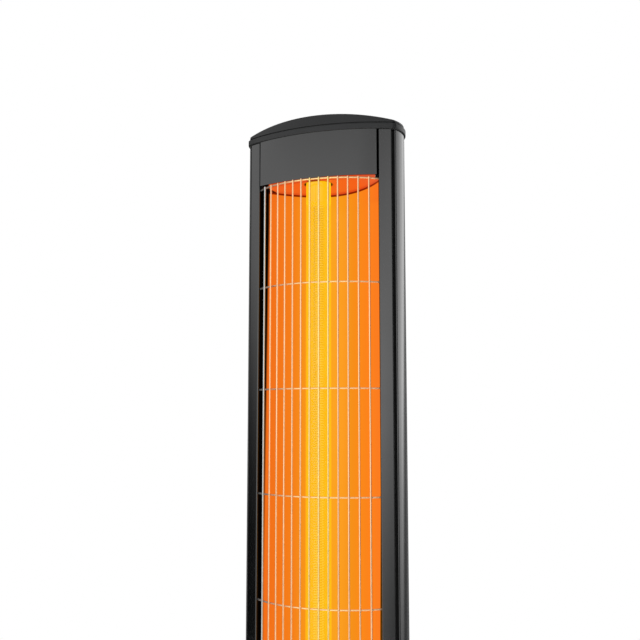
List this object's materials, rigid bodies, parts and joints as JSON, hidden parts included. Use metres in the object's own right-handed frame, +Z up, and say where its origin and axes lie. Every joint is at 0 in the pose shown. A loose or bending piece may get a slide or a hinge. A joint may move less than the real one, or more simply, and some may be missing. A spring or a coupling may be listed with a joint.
{
  "type": "infrared heater tower",
  "caption": "Slim free-standing infrared heater tower: a quartz tube in a trough reflector behind a bowed wire guard, between extruded posts, on a round weighted base.",
  "frame": {"origin": "centre of the round base, on the floor", "axes": "+Z up along the tower, -Y towards the heated side (the front), +X to the right as seen from the front"},
  "size_m": [0.33, 0.33, 0.9917],
  "materials": {
    "coated_aluminium": "dark grey satin powder coat on extruded aluminium",
    "cap_plastic": "dark grey fine-grained moulding",
    "base_plastic": "dark grey fine-grained moulding",
    "polished_aluminium": "polished reflector sheet",
    "stainless_wire": "bright stainless wire",
    "zinc_steel": "zinc plated",
    "black_steel": "black coated plate",
    "quartz": "clear quartz, lit by the coil",
    "coil_wire": "glowing resistance wire",
    "white_ceramic": "unglazed steatite",
    "silicone": "silicone lead",
    "board": "printed circuit board",
    "black_plastic": "black moulding",
    "key_plastic": "grey soft-touch moulding",
    "smoked_lens": "smoked acrylic",
    "rubber": "black rubber"
  },
  "bodies": {
    "tower": {"top_cap": "cap_plastic", "cap_screws": "zinc_steel", "top_bulkhead": "zinc_steel", "bottom_bulkhead": "zinc_steel", "end_screws": "zinc_steel", "right_post": "coated_aluminium", "left_post": "coated_aluminium", "right_seal": "rubber", "left_seal": "rubber", "rear_shell": "coated_aluminium", "top_fascia": "coated_aluminium", "control_fascia": "coated_aluminium", "fascia_screws": "zinc_steel", "reflector": "polished_aluminium", "reflector_top_plate": "polished_aluminium", "reflector_bottom_plate": "polished_aluminium", "reflector_rivets": "polished_aluminium", "guard_crosswires": "stainless_wire", "guard_uprights": "stainless_wire", "quartz_tube": "quartz", "heating_coil": "coil_wire", "coil_tails": "coil_wire", "tube_plugs": "white_ceramic", "tube_holders": "zinc_steel", "thermal_cutout": "zinc_steel", "upper_lead": "silicone", "lower_lead": "silicone", "switch_leads": "silicone", "lead_clips": "zinc_steel", "terminal_block": "white_ceramic", "control_board": "board", "board_screws": "zinc_steel", "key_switches": "black_plastic", "heat_sink": "polished_aluminium", "receiver_lens": "smoked_lens", "rocker_housing": "black_plastic", "cable_gland": "black_plastic", "gland_nut": "black_plastic", "base_collar": "base_plastic", "base_cover": "base_plastic", "base_weight": "black_steel", "base_bolts": "zinc_steel", "base_nuts": "zinc_steel", "rubber_feet": "rubber", "tip_switch_housing": "black_plastic"},
    "key_power": {"key_power": "key_plastic"},
    "key_plus": {"key_plus": "key_plastic"},
    "key_minus": {"key_minus": "key_plastic"},
    "power_rocker": {"power_rocker": "black_plastic"},
    "tip_plunger": {"tip_plunger": "black_plastic"}
  },
  "joints": [
    {"name": "key_power_press", "type": "slide", "parent": "tower", "child": "key_power", "axis": [0, 1, 0], "range_m": [0, 0.0015], "stiffness_N_per_m": 400},
    {"name": "key_plus_press", "type": "slide", "parent": "tower", "child": "key_plus", "axis": [0, 1, 0], "range_m": [0, 0.0015], "stiffness_N_per_m": 400},
    {"name": "key_minus_press", "type": "slide", "parent": "tower", "child": "key_minus", "axis": [0, 1, 0], "range_m": [0, 0.0015], "stiffness_N_per_m": 400},
    {"name": "power_rocker_tilt", "type": "hinge", "parent": "tower", "child": "power_rocker", "pos_m": [0, 0.04702, 0.111], "axis": [1, 0, 0], "range_deg": [0, 16]},
    {"name": "tip_plunger_drop", "type": "slide", "parent": "tower", "child": "tip_plunger", "axis": [0, 0, -1], "range_m": [0, 0.004], "stiffness_N_per_m": 150, "springref_m": 0.01}
  ]
}
